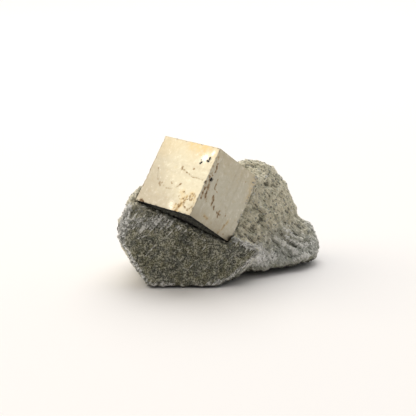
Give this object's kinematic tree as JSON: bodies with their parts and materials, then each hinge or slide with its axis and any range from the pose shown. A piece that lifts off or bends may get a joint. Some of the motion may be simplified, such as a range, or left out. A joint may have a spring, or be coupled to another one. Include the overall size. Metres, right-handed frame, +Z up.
{
  "type": "pyrite crystal on matrix",
  "caption": "Sharp metallic cube crystal standing out of a broken block of grey-green stone, resting on a flat foot.",
  "frame": {"origin": "on the flat foot that the rock rests on, under the middle of the foot", "axes": "+Z up, the broken front face and the crystal's jutting corner towards -Y, the long low toe of the rock towards +X"},
  "size_m": [0.0614, 0.0483, 0.0424],
  "materials": {
    "pyrite": "natural crystal faces, pale brassy metal, faintly striated and pitted",
    "marl": "broken grey-green marl, dull and fine-grained, with a whitish crust"
  },
  "bodies": {
    "root": {"pyrite_crystal": "pyrite", "matrix_rock": "marl"}
  },
  "joints": []
}
